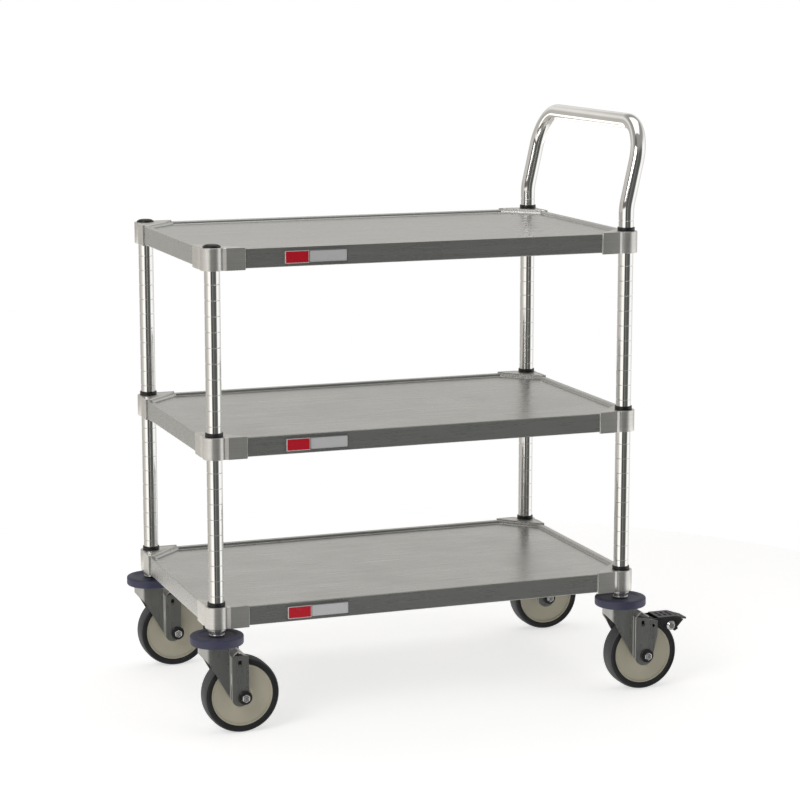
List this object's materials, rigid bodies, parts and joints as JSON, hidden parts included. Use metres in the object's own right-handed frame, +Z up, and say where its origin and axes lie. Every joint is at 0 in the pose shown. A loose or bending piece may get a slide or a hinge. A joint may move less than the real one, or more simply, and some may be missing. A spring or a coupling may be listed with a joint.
{
  "type": "rolling pantry cart",
  "caption": "Wheeled kitchen storage cart with flat rimmed steel shelves on chrome posts, a U push handle at one end and swivel casters with round bumpers and foot brakes.",
  "frame": {"origin": "on the floor, at the centre of the cart's bounding box", "axes": "+Z up, +X along the shelves towards the push handle, -Y towards the front rails that carry the label holders"},
  "size_m": [0.8876, 0.5094, 0.9907],
  "materials": {
    "shelf_steel": "satin brushed stainless sheet and satin corner castings",
    "chrome_tube": "bright chrome plated tube with ring grooves",
    "black_plastic": "moulded black plastic",
    "label_plastic": "grey card holder with a plain coloured plate",
    "zinc_plate": "zinc plated pressed steel",
    "bumper_rubber": "moulded slate-blue rubber",
    "core_plastic": "moulded beige polyolefin",
    "tread_rubber": "grey non-marking rubber tread",
    "axle_steel": "bright zinc plated steel",
    "black_nut": "black oxide flanged nut",
    "pedal_black": "black painted pressed steel pedal"
  },
  "bodies": {
    "cart_frame": {"shelf_top": "shelf_steel", "label_holder_top": "label_plastic", "sleeve_top_front_left": "black_plastic", "sleeve_top_front_right": "black_plastic", "sleeve_top_rear_left": "black_plastic", "sleeve_top_rear_right": "black_plastic", "shelf_middle": "shelf_steel", "label_holder_middle": "label_plastic", "sleeve_middle_front_left": "black_plastic", "sleeve_middle_front_right": "black_plastic", "sleeve_middle_rear_left": "black_plastic", "sleeve_middle_rear_right": "black_plastic", "shelf_bottom": "shelf_steel", "label_holder_bottom": "label_plastic", "sleeve_bottom_front_left": "black_plastic", "sleeve_bottom_front_right": "black_plastic", "sleeve_bottom_rear_left": "black_plastic", "sleeve_bottom_rear_right": "black_plastic", "post_front_left": "chrome_tube", "post_rear_left": "chrome_tube", "handle_post": "chrome_tube", "cap_front_left": "black_plastic", "cap_rear_left": "black_plastic", "stem_front_left": "zinc_plate", "bumper_front_left": "bumper_rubber", "stem_front_right": "zinc_plate", "bumper_front_right": "bumper_rubber", "stem_rear_left": "zinc_plate", "bumper_rear_left": "bumper_rubber", "stem_rear_right": "zinc_plate", "bumper_rear_right": "bumper_rubber"},
    "swivel_front_left": {"fork_front_left": "zinc_plate", "bushing_front_left": "axle_steel", "axle_bolt_front_left": "axle_steel", "axle_nut_front_left": "black_nut"},
    "wheel_front_left": {"wheel_core_front_left": "core_plastic", "tyre_front_left": "tread_rubber"},
    "swivel_front_right": {"fork_front_right": "zinc_plate", "bushing_front_right": "axle_steel", "axle_bolt_front_right": "axle_steel", "axle_nut_front_right": "black_nut"},
    "wheel_front_right": {"wheel_core_front_right": "core_plastic", "tyre_front_right": "tread_rubber"},
    "pedal_front_right": {"brake_pedal_front_right": "pedal_black", "brake_shoe_front_right": "axle_steel"},
    "swivel_rear_left": {"fork_rear_left": "zinc_plate", "bushing_rear_left": "axle_steel", "axle_bolt_rear_left": "axle_steel", "axle_nut_rear_left": "black_nut"},
    "wheel_rear_left": {"wheel_core_rear_left": "core_plastic", "tyre_rear_left": "tread_rubber"},
    "swivel_rear_right": {"fork_rear_right": "zinc_plate", "bushing_rear_right": "axle_steel", "axle_bolt_rear_right": "axle_steel", "axle_nut_rear_right": "black_nut"},
    "wheel_rear_right": {"wheel_core_rear_right": "core_plastic", "tyre_rear_right": "tread_rubber"},
    "pedal_rear_right": {"brake_pedal_rear_right": "pedal_black", "brake_shoe_rear_right": "axle_steel"}
  },
  "joints": [
    {"name": "swivel_turn_front_left", "type": "hinge", "parent": "cart_frame", "child": "swivel_front_left", "pos_m": [-0.3998, -0.2107, 0.15], "axis": [0, 0, 1], "continuous": true},
    {"name": "wheel_spin_front_left", "type": "hinge", "parent": "swivel_front_left", "child": "wheel_front_left", "pos_m": [-0.3618, -0.2107, 0.0635], "axis": [0, 1, 0], "continuous": true},
    {"name": "swivel_turn_front_right", "type": "hinge", "parent": "cart_frame", "child": "swivel_front_right", "pos_m": [0.3228, -0.2107, 0.15], "axis": [0, 0, 1], "continuous": true},
    {"name": "wheel_spin_front_right", "type": "hinge", "parent": "swivel_front_right", "child": "wheel_front_right", "pos_m": [0.3608, -0.2107, 0.0635], "axis": [0, 1, 0], "continuous": true},
    {"name": "pedal_press_front_right", "type": "hinge", "parent": "swivel_front_right", "child": "pedal_front_right", "pos_m": [0.3728, -0.2107, 0.116], "axis": [0, 1, 0], "range_deg": [0, 6]},
    {"name": "swivel_turn_rear_left", "type": "hinge", "parent": "cart_frame", "child": "swivel_rear_left", "pos_m": [-0.3998, 0.2107, 0.15], "axis": [0, 0, 1], "continuous": true},
    {"name": "wheel_spin_rear_left", "type": "hinge", "parent": "swivel_rear_left", "child": "wheel_rear_left", "pos_m": [-0.3618, 0.2107, 0.0635], "axis": [0, 1, 0], "continuous": true},
    {"name": "swivel_turn_rear_right", "type": "hinge", "parent": "cart_frame", "child": "swivel_rear_right", "pos_m": [0.3228, 0.2107, 0.15], "axis": [0, 0, 1], "continuous": true},
    {"name": "wheel_spin_rear_right", "type": "hinge", "parent": "swivel_rear_right", "child": "wheel_rear_right", "pos_m": [0.3608, 0.2107, 0.0635], "axis": [0, 1, 0], "continuous": true},
    {"name": "pedal_press_rear_right", "type": "hinge", "parent": "swivel_rear_right", "child": "pedal_rear_right", "pos_m": [0.3728, 0.2107, 0.116], "axis": [0, 1, 0], "range_deg": [0, 6]}
  ]
}
